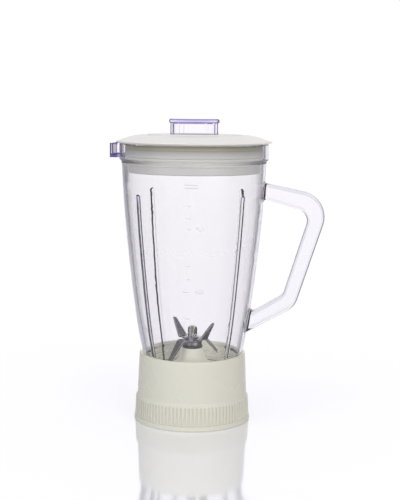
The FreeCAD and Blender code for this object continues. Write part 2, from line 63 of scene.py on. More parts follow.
# graduation numbers: text, height of its middle and its left end in mm
NUMBERS = (
    ("900", 174.7, 2.0),
    ("400", 121.2, 2.0),
    ("100", 83.5, -1.0),
)
MARK_WIDTH = 0.55
NUMBER_SIZE = 4.9
NUMBER_HEIGHT = 3.4
RELIEF = 0.18
SKIN_GAP = 0.01
BAR_PIECE = 1.0
BAR_CREST = 0.6

# colours (linear)
IVORY = (0.655, 0.645, 0.560, 1)
IVORY_DEEP = (0.649, 0.638, 0.553, 1)
LID_WHITE = (0.745, 0.738, 0.722, 1)
LID_SHADE = (0.735, 0.728, 0.708, 1)
SILICONE = (0.700, 0.695, 0.655, 1)
SILICONE_WORN = (0.74, 0.735, 0.70, 1)
CLEAR = (0.975, 0.968, 0.970, 1)
# painted shade: dark lines where a clear wall is seen edge on, from outside and from inside
CLEAR_EDGE_SHADE = (0.42, 0.40, 0.52, 1)
CLEAR_INSIDE_EDGE_SHADE = (0.012, 0.010, 0.024, 1)
CLEAR_DEPTH_TINT = (0.66, 0.63, 0.84, 1)
CLEAR_DEPTH_DENSITY = 6.0
# painted shade: dark violet lines where the filler cap's wall is seen edge on
CAP_EDGE_SHADE = (0.022, 0.016, 0.11, 1)
CAP_DEPTH_TINT = (0.54, 0.48, 0.81, 1)
CAP_DEPTH_DENSITY = 24.0
# painted shade on the filler cap plate's bevelled edges
CAP_BEVEL_SHADE = (0.22, 0.19, 0.42, 1)
# painted shade along the ribs' sides: dark on the near ribs, violet on the far ribs
RIB_SHADE = (0.012, 0.011, 0.020, 1)
RIB_VIOLET_SHADE = (0.38, 0.31, 0.60, 1)
# painted shade: grey line along the handle's rounding
HANDLE_SHADE_LINE = (0.72, 0.71, 0.76, 1)
THICK_VIOLET = (0.13, 0.10, 0.33, 1)
PLASTIC_IOR = 1.57
CAP_IOR = 1.10
# ramps: place on the ramp and its colour
RUBBER_TONES = (
    (0.3, (0.012, 0.011, 0.014, 1)),
    (0.75, (0.03, 0.028, 0.032, 1)),
)
COUPLING_TONES = (
    (0.3, (0.012, 0.012, 0.014, 1)),
    (0.75, (0.045, 0.045, 0.05, 1)),
)
RELIEF_TONES = (
    (0.3, (0.86, 0.86, 0.88, 1)),
    (0.8, (0.95, 0.95, 0.96, 1)),
)
BLADE_TONES = (
    (0.25, (0.10, 0.09, 0.12, 1)),
    (0.55, (0.19, 0.18, 0.21, 1)),
    (0.8, (0.30, 0.29, 0.31, 1)),
)
BRONZE_TONES = (
    (0.32, (0.07, 0.045, 0.02, 1)),
    (0.5, (0.45, 0.29, 0.13, 1)),
    (0.8, (0.58, 0.40, 0.20, 1)),
)
# painted shadow on the lid's skirt, dark and olive under the lip: from where the skirt is plain (0) up to
# the lip (1)
LIP_SHADOW_TONES = (
    (0.0, LID_WHITE),
    (0.40, (0.53, 0.52, 0.49, 1)),
    (0.50, (0.36, 0.35, 0.32, 1)),
    (0.56, (0.50, 0.47, 0.36, 1)),
    (0.80, (0.34, 0.31, 0.20, 1)),
    (1.0, (0.36, 0.33, 0.22, 1)),
)
# painted highlight along the blades' corners
BLADE_EDGE_HIGHLIGHT = (0.92, 0.92, 0.94, 1)
DISC_STEEL = ((0.60, 0.56, 0.70, 1), (0.88, 0.84, 0.98, 1))
NUT_STEEL = ((0.62, 0.61, 0.52, 1), (0.85, 0.84, 0.74, 1))
SHAFT_STEEL = ((0.38, 0.38, 0.40, 1), (0.62, 0.62, 0.64, 1))
ALUMINIUM = ((0.55, 0.55, 0.57, 1), (0.75, 0.75, 0.77, 1))

# finish of the mouldings: scale of the noise in the skin, its depth in metres, and roughness
SKIN_SCALE = 500
SKIN_DEPTH = 1e-6
IVORY_ROUGHNESS = (0.25, 0.31)
LID_ROUGHNESS = (0.30, 0.34)
CLEAR_ROUGHNESS = (0.004, 0.014)

# painted shade on clear walls seen edge on: how edge-on a wall is seen where the shade starts, and where it
# is darkest
JUG_OUTER_LINE = (0.70, 0.97)
JUG_INNER_LINE = (0.60, 0.86)
CAP_OUTER_LINE = (0.62, 0.78)
CAP_INNER_LINE = (0.66, 0.78)
CAP_WALL_LINE = (0.47, 0.53)

# outer wall of the jug: radius = FLANK_RADIUS + rise * (FLANK_SLOPE - rise * FLANK_CURL), in metres
FLANK_FOOT = 0.0600
FLANK_RADIUS = 0.0435
FLANK_SLOPE = 0.1853
FLANK_CURL = 0.4178
# how edge-on the ribs' sides are seen where their painted shade starts and is full, and the heights where it
# turns violet at their tips
RIB_SIDE = (0.86, 0.55)
RIB_SIDE_NEAR = (0.95, 0.78)
RIB_LEE = (0.985, 0.94)
RIB_TIP = (0.1945, 0.1965)
RIB_OVER_TIP = 6 * MM
AXIS_FACING = -0.96
CORNER_TURN = (0.985, 0.90)
CORNER_SAMPLES = 6
FILLET_REACH = 0.0035
RIM_BAND = 0.0142
# the painted shadow under the lid's lip: within this distance of the axis, from the height where the skirt
# is plain up to the lip
LIP_SHADOW_REACH = 0.0610
LIP_SHADOW_FOOT = 0.2335
LIP_SHADOW_TOP = 0.2440
RIM_STEP_FROST = 0.30
RIM_STEP_BELOW = (2.8 * MM, 2.2 * MM)
RIM_STEP_ABOVE = (1.8 * MM, 1.2 * MM)
# the spout's thick edges: how far under the jug's top or behind its front tip the violet starts and is full
SPOUT_FLOOR = (8.7 * MM, 9.8 * MM)
SPOUT_FRONT = (2.4 * MM, 1.2 * MM)
SPOUT_TOP = (1.2 * MM, 0.6 * MM)
SPOUT_BLEND = 0.8 * MM
# tilt of the handle's skin where the painted grey shade line along its rounding begins and ends
HANDLE_LINE_START = (0.995, 0.975)
HANDLE_LINE_END = (0.80, 0.86)
LOW_ROOT_TOP = 0.130
LOW_ROOT_TILT = (0.3, 0.5)
ROOT_SIDE = (8 * MM, 7 * MM)
ROOT_FOOT = 0.190
ROOT_TOP = 0.208
CAP_INNER_FACE = 0.0190
# tilt of the cap plate's bevelled edges where their painted shade starts and is full, and its width in from
# the plate's rim
CAP_BEVEL_LEAST = (0.1, 0.3)
CAP_BEVEL_MOST = (0.99, 0.93)
CAP_BEVEL_WIDTH = 1.6 * MM
# painted light: the ivory glows a little inside the jug's foot, within this distance of the axis, from this
# height up, at this strength
LIT_REACH = 0.0455
LIT_FOOT = 0.040
LIT_STRENGTH = 0.32
STRIP_POWER = 4.0
# width of the painted highlight along the blades' corners
BLADE_EDGE = 0.8 * MM
# painted highlights and shade on polished steel: share of its brightness that it shows where it faces left
# (0), across to right (1)
HIGHLIGHT_STREAKS = (
    (0.0, (0.05, 0.05, 0.05, 1)),
    (0.13, (0.15, 0.15, 0.15, 1)),
    (0.27, (1.0, 1.0, 1.0, 1)),
    (0.38, (0.42, 0.42, 0.42, 1)),
    (0.55, (0.30, 0.30, 0.30, 1)),
    (0.72, (1.0, 1.0, 1.0, 1)),
    (0.82, (0.25, 0.25, 0.25, 1)),
    (0.95, (0.04, 0.04, 0.04, 1)),
)
# how upright a face must be to get the painted highlights and shade
STEEL_UPRIGHT = 0.75
STEEL_NODES = ("acorn_nut", "blade_lock_washer", "upper_blade", "lower_blade", "blade_spacer")

# the room: colours by direction, and the stretch over which each comes in
SIDE_GREY = (0.25, 0.25, 0.26, 1)
FRONT_GREY = (0.60, 0.60, 0.61, 1)
FRONT_FADE = (-0.30, -0.75)
SWEEP_WHITE = (1.08, 1.07, 1.09, 1)
SWEEP_FADE = (0.88, 0.94)
TOP_WHITE = (0.80, 0.80, 0.80, 1)
TOP_FADE = (0.35, 0.75)
# lights: name, place, width, height, power, colour
SOFT_LIGHTS = (
    ("overhead", (0.1, -0.3, 1.5), 1.4, 1.2, 3.0, (1, 1, 1)),
    ("right_front", (1.0, -1.5, 0.55), 0.9, 1.0, 13.0, (1.0, 0.98, 0.96)),
    ("left_front", (-1.3, -1.2, 0.50), 0.8, 0.9, 8.0, (0.96, 0.98, 1.0)),
)
SOFT_LIGHT_AIM = (0, 0, 0.13)
# strips: name, place, width
STRIP_LIGHTS = (
    ("strip_left", (-0.75, -0.85, 0.35), 0.25),
    ("strip_right", (0.95, -0.35, 0.35), 0.30),
    ("strip_back", (0.55, 0.95, 0.45), 0.30),
)
STRIP_AIM = (0, 0, 0.08)
STRIP_HEIGHT = 0.8
FLOOR_REACH = 300.0
FLOOR_COLOUR = (0.885, 0.885, 0.93, 1)
FLOOR_GLOW = (0.96, 0.96, 1.0, 1)
FLOOR_ROUGHNESS = (0.06, 0.08)


# ---- material building ------------------------------------------------------------------------

class Look:
    """A Principled material, with short calls for the nodes that feed it."""

    def __init__(self, name, **sockets):
        self.material = bpy.data.materials.new(name)
        self.material.use_nodes = True
        self.tree = self.material.node_tree
        self.shader = self.tree.nodes["Principled BSDF"]
        self.output = self.tree.nodes["Material Output"]
        for socket, value in sockets.items():
            self.shader.inputs[socket.replace("_", " ")].default_value = value

    def node(self, kind, **values):
        made = self.tree.nodes.new(kind)
        for socket, value in values.items():
            made.inputs[socket.replace("_", " ")].default_value = value
        return made

    def link(self, source, target):
        self.tree.links.new(source, target)

    def place(self, stretch=(1, 1, 1)):
        """Position on the object in metres, scaled along each axis."""
        coords = self.tree.nodes.new("ShaderNodeTexCoord")
        mapping = self.node("ShaderNodeMapping", Scale=stretch)
        self.link(coords.outputs["Object"], mapping.inputs["Vector"])
        return mapping.outputs["Vector"]

    def noise(self, scale, detail=3.0, roughness=0.55, stretch=(1, 1, 1)):
        made = self.node("ShaderNodeTexNoise", Scale=scale, Detail=detail, Roughness=roughness)
        self.link(self.place(stretch), made.inputs["Vector"])
        return made.outputs["Fac"]

    def rings(self, scale):
        """Noise that changes only with height and distance from the upright axis, as turning marks do."""
        split = self.tree.nodes.new("ShaderNodeSeparateXYZ")
        self.link(self.place(), split.inputs[0])
        flat = self.tree.nodes.new("ShaderNodeCombineXYZ")
        self.link(split.outputs["X"], flat.inputs["X"])
        self.link(split.outputs["Y"], flat.inputs["Y"])
        length = self.tree.nodes.new("ShaderNodeVectorMath")
        length.operation = "LENGTH"
        self.link(flat.outputs[0], length.inputs[0])
        along = self.tree.nodes.new("ShaderNodeCombineXYZ")
        self.link(length.outputs["Value"], along.inputs["X"])
        self.link(split.outputs["Z"], along.inputs["Y"])
        made = self.node("ShaderNodeTexNoise", Scale=scale, Detail=2.0)
        self.link(along.outputs[0], made.inputs["Vector"])
        return made.outputs["Fac"]

    def ramp(self, factor, *stops):
        """Colour ramp; each stop is (position, colour)."""
        made = self.tree.nodes.new("ShaderNodeValToRGB")
        band = made.color_ramp
        while len(band.elements) < len(stops):
            band.elements.new(0.5)
        for element, (position, colour) in zip(band.elements, stops):
            element.position = position
            element.color = colour
        self.link(factor, made.inputs["Fac"])
        return made.outputs["Color"]

    def spread(self, factor, low, high, source=(0.3, 0.7)):
        made = self.node("ShaderNodeMapRange")
        made.inputs["From Min"].default_value = source[0]
        made.inputs["From Max"].default_value = source[1]
        made.inputs["To Min"].default_value = low
        made.inputs["To Max"].default_value = high
        self.link(factor, made.inputs["Value"])
        return made.outputs["Result"]

    def maths(self, operation, *sources):
        """Math node; each source is a number or another node's output."""
        made = self.tree.nodes.new("ShaderNodeMath")
        made.operation = operation
        for socket, source in zip(made.inputs, sources):
            if isinstance(source, float):
                socket.default_value = source
            else:
                self.link(source, socket)
        return made.outputs[0]

    def mix(self, factor, first, second):
        """Mix of two colours; a Mix node has its colour sockets at inputs 6 and 7 and output 2."""
        made = self.tree.nodes.new("ShaderNodeMix")
        made.data_type = "RGBA"
        self.link(factor, made.inputs["Factor"])
        self.link(first, made.inputs[6])
        self.link(second, made.inputs[7])
        return made.outputs[2]

    def vector_maths(self, operation, output, *sources):
        """Vector math node; each source is a constant vector or another node's output."""
        made = self.tree.nodes.new("ShaderNodeVectorMath")
        made.operation = operation
        for socket, source in zip(made.inputs, sources):
            if isinstance(source, tuple):
                socket.default_value = source
            else:
                self.link(source, socket)
        return made.outputs[output]

    def radial(self):
        """How far a surface looks away from the upright axis (1) or at it (-1), and its distance from it."""
        spoke = self.vector_maths("MULTIPLY", "Vector", self.place(), (1, 1, 0))
        distance = self.vector_maths("LENGTH", "Value", spoke)
        unit = self.vector_maths("NORMALIZE", "Vector", spoke)
        outward = self.vector_maths("DOT_PRODUCT", "Value", self.geometry("Normal"), unit)
        return outward, distance

    def geometry(self, output):
        return self.tree.nodes.new("ShaderNodeNewGeometry").outputs[output]

    def height(self):
        return self.axes(self.place())[2]

    def edge_on(self):
        """0 where a surface is seen straight on, 1 where it is seen edge on."""
        return self.node("ShaderNodeLayerWeight", Blend=0.5).outputs["Facing"]

    def wall_line(self, facing, line, dark):
        """Clear plastic with painted shade that turns it dark where its wall is seen edge on."""
        start, full = line
        return self.ramp(facing, (0.0, CLEAR), (start, CLEAR), (full, dark))

    def axes(self, vector):
        split = self.tree.nodes.new("ShaderNodeSeparateXYZ")
        self.link(vector, split.inputs[0])
        return split.outputs["X"], split.outputs["Y"], split.outputs["Z"]

    def constant(self, colour):
        made = self.tree.nodes.new("ShaderNodeRGB")
        made.outputs[0].default_value = colour
        return made.outputs[0]

    def step(self, value, none, full):
        """0 where the value is at none, 1 where it is at full, straight between them."""
        return self.spread(value, 0.0, 1.0, (none, full))

    def all_of(self, *factors):
        result = factors[0]
        for factor in factors[1:]:
            result = self.maths("MULTIPLY", result, factor)
        return result

    def towards_axis(self):
        """1 on surfaces that look at the upright axis from the air beside them, as a jug's inside does."""
        outward, _ = self.radial()
        inward = self.maths("LESS_THAN", outward, AXIS_FACING)
        in_air = self.maths("LESS_THAN", self.geometry("Backfacing"), 0.5)
        return self.maths("MULTIPLY", inward, in_air)

    def corners(self, width):
        """1 along a piece's sharp corners, as wide as given, 0 on its faces."""
        rounded = self.tree.nodes.new("ShaderNodeBevel")
        rounded.samples = CORNER_SAMPLES
        rounded.inputs["Radius"].default_value = width
        normals = rounded.outputs["Normal"], self.geometry("Normal")
        return self.step(self.vector_maths("DOT_PRODUCT", "Value", *normals), *CORNER_TURN)

    def bump(self, height, distance, strength=1.0):
        """Adds a bump in metres on top of what is there."""
        made = self.node("ShaderNodeBump", Strength=strength, Distance=distance)
        self.link(height, made.inputs["Height"])
        before = self.shader.inputs["Normal"]
        if before.links:
            self.link(before.links[0].from_socket, made.inputs["Normal"])
        self.link(made.outputs["Normal"], before)

    def feed(self, socket, source):
        self.link(source, self.shader.inputs[socket])


def moulded_finish(look, roughness):
    """Uneven gloss and a very fine skin, as an opaque moulding has."""
    look.feed("Roughness", look.spread(look.noise(30, 2), *roughness))
    look.bump(look.noise(SKIN_SCALE, 2), SKIN_DEPTH)


def ivory_plastic():
    """Faintly cloudy ivory; inside the jug's foot it glows a little, painted light in place of the light
    that comes in through the jug.
    """
    look = Look("ivory_plastic", IOR=1.52, Specular_IOR_Level=0.3)
    _, distance = look.radial()
    height = look.height()
    # painted light: a faint glow on the ivory inside the jug's foot
    painted_glow = look.all_of(look.step(distance, LIT_REACH + 0.5 * MM, LIT_REACH),
                         look.step(height, LIT_FOOT - 2 * MM, LIT_FOOT))
    look.feed("Emission Strength", look.maths("MULTIPLY", painted_glow, LIT_STRENGTH))
    look.shader.inputs["Emission Color"].default_value = IVORY
    look.feed("Base Color", look.ramp(look.noise(9, 2), (0.15, IVORY_DEEP), (0.85, IVORY)))
    moulded_finish(look, IVORY_ROUGHNESS)
    return look.material


def wall_radius(look, height):
    """Outer radius of the jug's wall at a height."""
    above = look.maths("SUBTRACT", height, FLANK_FOOT)
    slope = look.maths("SUBTRACT", FLANK_SLOPE, look.maths("MULTIPLY", above, FLANK_CURL))
    return look.maths("ADD", look.maths("MULTIPLY", above, slope), FLANK_RADIUS)


def proud_of_wall(look, height):
    """How far a point stands out from the jug's outer wall."""
    _, distance = look.radial()
    return look.maths("SUBTRACT", distance, wall_radius(look, height))


def rib_shade_mask(look):
    """1 where the ribs' sides get painted shade: the sides of the upright ribs inside the jug, where light
    is bent away, 0 elsewhere.
    """
    outward, distance = look.radial()
    height = look.height()
    turn = look.maths("ABSOLUTE", outward)
    aside = look.axes(look.geometry("Normal"))[0]
    lee = look.all_of(look.maths("LESS_THAN", aside, 0.0), look.step(turn, *RIB_LEE))
    near_side = look.maths("MAXIMUM", lee, look.step(turn, *RIB_SIDE_NEAR))
    through_wall = look.maths("MULTIPLY", near_side, look.geometry("Backfacing"))
    side = look.maths("MAXIMUM", look.step(turn, *RIB_SIDE), through_wall)
    within = look.maths("LESS_THAN", distance, wall_radius(look, height))
    return look.all_of(side, within, look.maths("GREATER_THAN", height, FLANK_FOOT),
                       look.maths("LESS_THAN", height, RIB_TIP[1] + RIB_OVER_TIP))


def thick_places(look):
    """1 where the moulding is thick and shows its violet depth: spout edges and handle fillets."""
    low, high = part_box("jug")
    x, _, z = look.axes(look.place())
    beyond_rim = look.step(x, -high.y, -high.y - SPOUT_BLEND)
    spout_floor = look.step(z, *(high.z - under for under in SPOUT_FLOOR))
    spout_front = look.step(x, *(low.x + behind for behind in SPOUT_FRONT))
    spout_top = look.step(z, *(high.z - under for under in SPOUT_TOP))
    edges = look.maths("MAXIMUM", spout_floor, look.maths("MAXIMUM", spout_front, spout_top))
    spout = look.all_of(beyond_rim, edges)
    tilt = look.maths("ABSOLUTE", look.axes(look.geometry("Normal"))[2])
    proud = proud_of_wall(look, z)
    root = look.all_of(look.step(proud, 0.0, 0.4 * MM),
                       look.step(proud, FILLET_REACH, FILLET_REACH - 1 * MM))
    low_root = look.all_of(root, look.step(tilt, *LOW_ROOT_TILT), look.maths("GREATER_THAN", x, 0.0),
                           look.maths("LESS_THAN", z, LOW_ROOT_TOP),
                           look.maths("GREATER_THAN", z, FLANK_FOOT + 10 * MM))
    return look.maths("MAXIMUM", spout, low_root)


def handle_rounding_shade(look):
    """1 along the line where the handle's flat faces turn into its rounded edges, which gets a painted grey
    shade line.
    """
    x, _, z = look.axes(look.place())
    flat = look.maths("ABSOLUTE", look.axes(look.geometry("Normal"))[1])
    proud = proud_of_wall(look, z)
    return look.all_of(look.step(flat, *HANDLE_LINE_START), look.step(flat, *HANDLE_LINE_END),
                       look.maths("GREATER_THAN", proud, FILLET_REACH), look.maths("GREATER_THAN", x, 0.0),
                       look.maths("LESS_THAN", z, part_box("jug")[1].z - 2 * RIM_BAND))


def handle_root(look):
    """1 where the wall runs behind the upper end of the handle, and has no outer face of its own."""
    x, y, z = look.axes(look.place())
    return look.all_of(look.step(look.maths("ABSOLUTE", y), *ROOT_SIDE),
                       look.maths("GREATER_THAN", x, 0.0),
                       look.maths("LESS_THAN", proud_of_wall(look, z), FILLET_REACH),
                       look.step(z, ROOT_FOOT, ROOT_FOOT + 1 * MM),
                       look.step(z, ROOT_TOP, ROOT_TOP - 1 * MM))


def rim_step(look):
    """1 on the narrow cone where the inner wall widens into the rim band."""
    height = look.height()
    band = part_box("jug")[1].z - RIM_BAND
    return look.all_of(look.step(height, *(band - under for under in RIM_STEP_BELOW)),
                       look.step(height, *(band + over for over in RIM_STEP_ABOVE)))


def absorbing(look, tint, density):
    depth = look.node("ShaderNodeVolumeAbsorption", Color=tint, Density=density)
    look.link(depth.outputs[0], look.output.inputs["Volume"])


def jug_plastic():
    """Clear SAN of the jug, with painted shade where it is seen edge on and along the ribs' sides, a painted
    grey shade line along the handle's rounding, and dark where it is thick.
    """
    look = Look("jug_clear", IOR=PLASTIC_IOR, Transmission_Weight=1.0)
    facing = look.edge_on()
    # painted shade where the wall is seen edge on
    outside = look.wall_line(facing, JUG_OUTER_LINE, CLEAR_EDGE_SHADE)
    inside = look.wall_line(facing, JUG_INNER_LINE, CLEAR_INSIDE_EDGE_SHADE)
    colour = look.mix(look.towards_axis(), outside, inside)
    # painted shade along the ribs' sides: dark on the near ribs and violet at their tips, violet on the far
    # ribs
    tip = look.step(look.height(), *RIB_TIP)
    near = look.ramp(tip, (0.0, RIB_SHADE), (1.0, THICK_VIOLET))
    dark = look.mix(look.geometry("Backfacing"), look.constant(RIB_VIOLET_SHADE), near)
    colour = look.mix(rib_shade_mask(look), colour, dark)
    # painted grey shade line along the handle's rounding
    colour = look.mix(handle_rounding_shade(look), colour, look.constant(HANDLE_SHADE_LINE))
    colour = look.mix(handle_root(look), colour, look.constant(CLEAR))
    look.feed("Base Color", look.mix(thick_places(look), colour, look.constant(THICK_VIOLET)))
    gloss = look.spread(look.noise(45, 3), *CLEAR_ROUGHNESS)
    look.feed("Roughness", look.maths("ADD", gloss, look.maths("MULTIPLY", rim_step(look), RIM_STEP_FROST)))
    absorbing(look, CLEAR_DEPTH_TINT, CLEAR_DEPTH_DENSITY)
    return look.material


def cap_plastic():
    """Thin clear plastic of the filler cap: light, with painted shade in crisp violet lines along the wall's
    two faces and on the plate's bevelled edges.
    """
    look = Look("cap_clear", IOR=CAP_IOR, Transmission_Weight=1.0)
    facing = look.edge_on()
    outward, distance = look.radial()
    outer = look.wall_line(facing, CAP_OUTER_LINE, CAP_EDGE_SHADE)
    inner_from_air = look.wall_line(facing, CAP_INNER_LINE, CAP_EDGE_SHADE)
    inner_from_wall = look.wall_line(facing, CAP_WALL_LINE, CAP_EDGE_SHADE)
    inner = look.mix(look.geometry("Backfacing"), inner_from_air, inner_from_wall)
    at_axis = look.maths("LESS_THAN", look.maths("ABSOLUTE", look.maths("ADD", outward, 1.0)), 0.1)
    within = look.maths("LESS_THAN", distance, CAP_INNER_FACE)
    colour = look.mix(look.all_of(at_axis, within), outer, inner)
    tilt = look.maths("ABSOLUTE", look.axes(look.geometry("Normal"))[2])
    bevel_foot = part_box("filler_cap")[1].x - CAP_BEVEL_WIDTH
    # painted shade on the plate's bevelled edges
    bevel_shade = look.all_of(look.step(tilt, *CAP_BEVEL_LEAST), look.step(tilt, *CAP_BEVEL_MOST),
                         look.maths("GREATER_THAN", distance, bevel_foot))
    look.feed("Base Color", look.mix(bevel_shade, colour, look.constant(CAP_BEVEL_SHADE)))
    look.feed("Roughness", look.spread(look.noise(45, 3), *CLEAR_ROUGHNESS))
    absorbing(look, CAP_DEPTH_TINT, CAP_DEPTH_DENSITY)
    return look.material


def lid_plastic():
    """Warm white moulding, with painted shadow, dark and olive, where the skirt runs up under the lip."""
    look = Look("lid_plastic", IOR=1.52, Specular_IOR_Level=0.25)
    cloud = look.ramp(look.noise(9, 2), (0.15, LID_SHADE), (0.85, LID_WHITE))
    height = look.height()
    # painted shadow, dark and olive, on the skirt under the lip
    lip_shadow_colour = look.ramp(look.step(height, LIP_SHADOW_FOOT, LIP_SHADOW_TOP), *LIP_SHADOW_TONES)
    _, distance = look.radial()
    lip_shadow_mask = look.all_of(look.step(distance, LIP_SHADOW_REACH + 1 * MM, LIP_SHADOW_REACH),
                        look.step(height, LIP_SHADOW_FOOT - 1 * MM, LIP_SHADOW_FOOT),
                        look.maths("LESS_THAN", height, LIP_SHADOW_TOP))
    look.feed("Base Color", look.mix(lip_shadow_mask, cloud, lip_shadow_colour))
    moulded_finish(look, LID_ROUGHNESS)
    return look.material


def silicone():
    """Pale soft rubber, with a slight light of its own in place of what comes in through the jug."""
    look = Look("soft_silicone", IOR=1.41, Subsurface_Weight=0.15, Subsurface_Scale=2 * MM,
                Emission_Strength=0.08)
    look.feed("Base Color", look.ramp(look.noise(40, 3), (0.3, SILICONE), (0.75, SILICONE_WORN)))
    look.feed("Roughness", look.spread(look.noise(120, 2), 0.38, 0.5))
    look.bump(look.noise(700, 2), 15e-6)
    return look.material


def black_rubber():
    look = Look("black_rubber", IOR=1.5)
    look.feed("Base Color", look.ramp(look.noise(150, 4), *RUBBER_TONES))
    look.feed("Roughness", look.spread(look.noise(200, 3), 0.42, 0.62))
    look.bump(look.noise(900, 3), 25e-6)
    return look.material


def blade_steel():
    """Stamped stainless sheet: dark, with fine grinding lines and a painted highlight along its corners."""
    look = Look("blade_steel", Metallic=1.0, Anisotropic=0.4)
    lines = look.noise(260, 5, 0.7, stretch=(1, 1, 5))
    face = look.ramp(lines, *BLADE_TONES)
    # painted highlight along the blades' corners
    look.feed("Base Color", look.mix(look.corners(BLADE_EDGE), face, look.constant(BLADE_EDGE_HIGHLIGHT)))
    look.feed("Roughness", look.spread(look.noise(60, 3), 0.22, 0.36))
    look.bump(lines, 18e-6, 0.6)
    return look.material


def turned_steel(name, tones, roughness, marks=2600):
    """Lathe-turned metal with rings about the shaft's axis, and painted highlights and shade in upright
    streaks, set by the direction that it faces.
    """
    look = Look(name, Metallic=1.0)
    rings = look.rings(marks)
    dark, light = tones
    colour = look.ramp(rings, (0.3, dark), (0.7, light))
    # painted highlights and shade on upright faces, by the direction each faces
    aside, _, up = look.axes(look.geometry("Normal"))
    upright = look.maths("LESS_THAN", look.maths("ABSOLUTE", up), STEEL_UPRIGHT)
    highlight_streaks = look.ramp(look.spread(aside, 0.0, 1.0, (-1.0, 1.0)), *HIGHLIGHT_STREAKS)
    highlighted = look.vector_maths("MULTIPLY", "Vector", colour, highlight_streaks)
    look.feed("Base Color", look.mix(upright, colour, highlighted))
    look.feed("Roughness", look.spread(look.noise(90, 3), roughness, roughness + 0.12))
    look.bump(rings, 10e-6, 0.6)
    return look.material


def sintered_bronze():
    look = Look("sintered_bronze", Metallic=1.0)
    pores = look.noise(1600, 4, 0.65)
    look.feed("Base Color", look.ramp(pores, *BRONZE_TONES))
    look.feed("Roughness", look.spread(pores, 0.6, 0.38))
    look.bump(pores, 60e-6, 0.7)
    return look.material


def coupling_plastic():
    look = Look("coupling_plastic", IOR=1.5)
    fibres = look.noise(500, 5, 0.7, stretch=(1, 3, 1))
    look.feed("Base Color", look.ramp(fibres, *COUPLING_TONES))
    look.feed("Roughness", look.spread(fibres, 0.48, 0.66))
    look.bump(fibres, 40e-6, 0.6)
    return look.material


def frosted_relief():
    """Raised marks moulded with a matt face on the clear jug."""
    look = Look("frosted_relief", IOR=1.35, Transmission_Weight=0.9)
    look.feed("Base Color", look.ramp(look.noise(300, 3), *RELIEF_TONES))
    look.feed("Roughness", look.spread(look.noise(500, 2), 0.35, 0.55))
    look.bump(look.noise(1500, 2), 10e-6)
    return look.material


def dress_frame():
    """Gives every CAD node its finished material."""
    ivory = ivory_plastic()
    white = lid_plastic()
    rubber = black_rubber()
    blade = blade_steel()
    disc = turned_steel("turned_disc", DISC_STEEL, 0.12)
    nut = turned_steel("turned_nut", NUT_STEEL, 0.14, marks=1500)
    shaft = turned_steel("ground_shaft", SHAFT_STEEL, 0.16)
    sleeve = turned_steel("aluminium_sleeve", ALUMINIUM, 0.3, marks=1200)
    bronze = sintered_bronze()
    dressed = {
        "jug": jug_plastic(), "filler_cap": cap_plastic(), "lid": white, "lid_seal_ring": silicone(),
        "collar": ivory, "blade_base": ivory, "jug_gasket": rubber, "shaft_seal": rubber,
        "bearing_sleeve": sleeve, "upper_bearing": bronze, "lower_bearing": bronze,
        "upper_thrust_washer": shaft, "lower_thrust_washer": shaft, "blade_shaft": shaft,
        "blade_spacer": disc, "lower_blade": blade, "upper_blade": blade,
        "blade_lock_washer": disc, "acorn_nut": nut, "retaining_clip": shaft,
        "drive_coupling": coupling_plastic(), "coupling_insert": sleeve,
    }
    for name, material in dressed.items():
        for place in NODES[name].material_slots:
            place.material = material
    for name in ("jug", "filler_cap"):
        NODES[name].visible_shadow = False


# ---- graduations ------------------------------------------------------------------------------

def on_wall(across, height, lift):
    """Point on the jug's outer wall: across along the wall and up in mm, lifted off it in mm."""
    jug = NODES["jug"]
    angle = CAMERA_AZIMUTH + across / (FLANK_RADIUS / MM + (height - FLANK_FOOT / MM) * FLANK_SLOPE)
    spoke = Vector((math.sin(angle), -math.cos(angle), 0))
    level = Vector((0, 0, height * MM))
    to_object = jug.matrix_world.inverted()
    start = to_object @ (level + spoke * 0.1)
    found, place, _, _ = jug.ray_cast(start, to_object.to_3x3() @ -spoke)
    if not found:
        raise RuntimeError("no wall under a graduation mark")
    return jug.matrix_world @ place + spoke * lift * MM


def bar(relief, height, left, right):
    """One raised line, cut across into short pieces so it follows the round wall."""
    pieces = max(3, round((right - left) / BAR_PIECE))
    half = MARK_WIDTH / 2
    profile = ((-1, SKIN_GAP), (-BAR_CREST, RELIEF), (BAR_CREST, RELIEF), (1, SKIN_GAP))
    rows = []
    for step in range(pieces + 1):
        across = left + (right - left) * step / pieces
        rows.append([relief.verts.new(on_wall(across, height + side * half, lift))
                     for side, lift in profile])
    for before, after in zip(rows, rows[1:]):
        for index in range(4):
            following = (index + 1) % 4
            relief.faces.new((before[index], after[index], after[following], before[following]))
    relief.faces.new(rows[0])
    relief.faces.new(list(reversed(rows[-1])))


def number(relief, text, height, left):
    """One raised number, laid on the round wall."""
    curve = bpy.data.curves.new("number", "FONT")
    curve.body = text
    curve.size = NUMBER_SIZE
    curve.resolution_u = 3
    curve.extrude = 0.5
    flat = bpy.data.objects.new("number", curve)
    shape = flat.to_mesh()
    corners = [vertex.co.copy() for vertex in shape.vertices]
    sides = [tuple(face.vertices) for face in shape.polygons]
    flat.to_mesh_clear()
    bpy.data.objects.remove(flat)
    placed = [relief.verts.new(on_wall(left + corner.x, height - NUMBER_HEIGHT / 2 + corner.y,
                                       RELIEF if corner.z > 0 else SKIN_GAP)) for corner in corners]
    for side in sides:
        relief.faces.new([placed[index] for index in side])


def graduations():
    """Fill lines and numbers moulded on the front of the jug."""
    relief = bmesh.new()
    for height, left, right in MARKS:
        bar(relief, height, left, right)
    for text, height, left in NUMBERS:
        number(relief, text, height, left)
    bmesh.ops.recalc_face_normals(relief, faces=relief.faces)
    mesh = bpy.data.meshes.new("graduations")
    relief.to_mesh(mesh)
    relief.free()
    mesh.materials.append(frosted_relief())
    piece = bpy.data.objects.new("graduations", mesh)
    bpy.context.scene.collection.objects.link(piece)
    piece.visible_shadow = False
    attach(piece, "jug")


# ---- studio -----------------------------------------------------------------------------------

